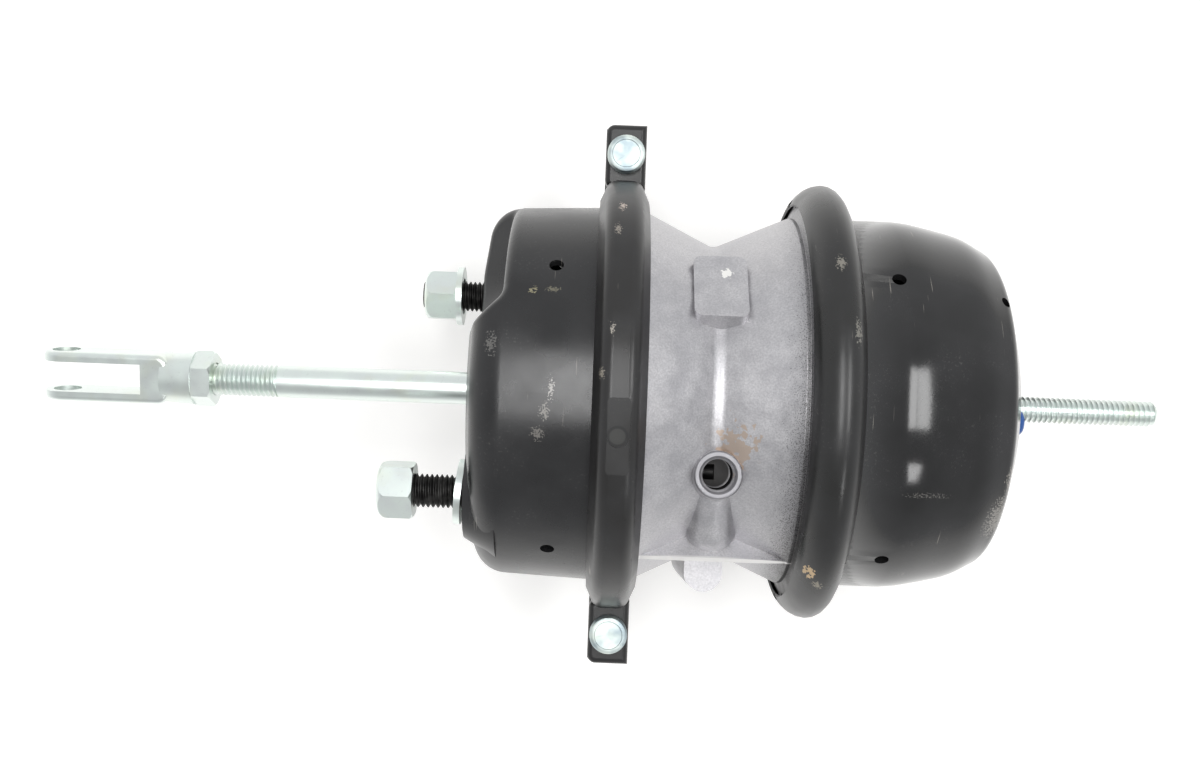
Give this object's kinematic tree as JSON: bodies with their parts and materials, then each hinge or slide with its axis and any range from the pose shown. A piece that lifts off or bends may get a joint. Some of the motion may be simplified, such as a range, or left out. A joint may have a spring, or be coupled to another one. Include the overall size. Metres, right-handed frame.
{
  "type": "air brake chamber",
  "caption": "Spring brake chamber with a service diaphragm housing, ported flange case, clamped and crimped rings, sliding push rod with clevis, and a release bolt.",
  "frame": {"origin": "centre of the mounting face, where the push rod leaves the service housing", "axes": "X along the chamber axis, clevis towards -X and release bolt towards +X; +Z is the side that the near air port faces; Y runs through the two clamp lugs"},
  "size_m": [0.5425, 0.26, 0.2092],
  "materials": {
    "black_paint": "gloss",
    "cast_aluminium": "satin",
    "zinc_plate": "satin",
    "black_steel": "matte",
    "inner_steel": "satin",
    "diaphragm_rubber": "matte",
    "seal_rubber": "matte",
    "guide_nylon": "matte",
    "blue_plastic": "satin"
  },
  "bodies": {
    "chamber": {"adapter_base": "inner_steel", "adapter_rod": "inner_steel", "adapter_seals": "seal_rubber", "adapter_spring": "inner_steel", "adapter_tip": "inner_steel", "centre_bush": "guide_nylon", "clamp_bolts": "zinc_plate", "clamp_half_far": "black_paint", "clamp_half_near": "black_paint", "clamp_nuts": "zinc_plate", "crimp_ring": "black_paint", "dust_plug": "blue_plastic", "flange_case": "cast_aluminium", "mounting_nuts": "zinc_plate", "mounting_studs": "black_steel", "mounting_washers": "zinc_plate", "power_spring": "inner_steel", "pressure_plate": "inner_steel", "release_bolt": "zinc_plate", "release_nut": "zinc_plate", "release_washer": "zinc_plate", "rod_guide": "guide_nylon", "service_diaphragm": "diaphragm_rubber", "service_housing": "black_paint", "spring_diaphragm": "diaphragm_rubber", "spring_housing": "black_paint", "stud_plate": "inner_steel"},
    "return_spring_seat": {"return_spring": "inner_steel"},
    "push_rod_set": {"push_rod": "zinc_plate", "push_plate": "inner_steel", "jam_nut": "zinc_plate", "clevis": "zinc_plate"}
  },
  "joints": [
    {"name": "rod_swivel", "type": "hinge", "parent": "chamber", "child": "return_spring_seat", "pos_m": [0, 0, 0], "axis": [-1, 0, 0], "continuous": true},
    {"name": "service_stroke", "type": "slide", "parent": "return_spring_seat", "child": "push_rod_set", "axis": [-1, 0, 0], "range_m": [0, 0.0635], "stiffness_N_per_m": 2200, "springref_m": -0.06, "deforming": ["return_spring", "service_diaphragm"]}
  ]
}
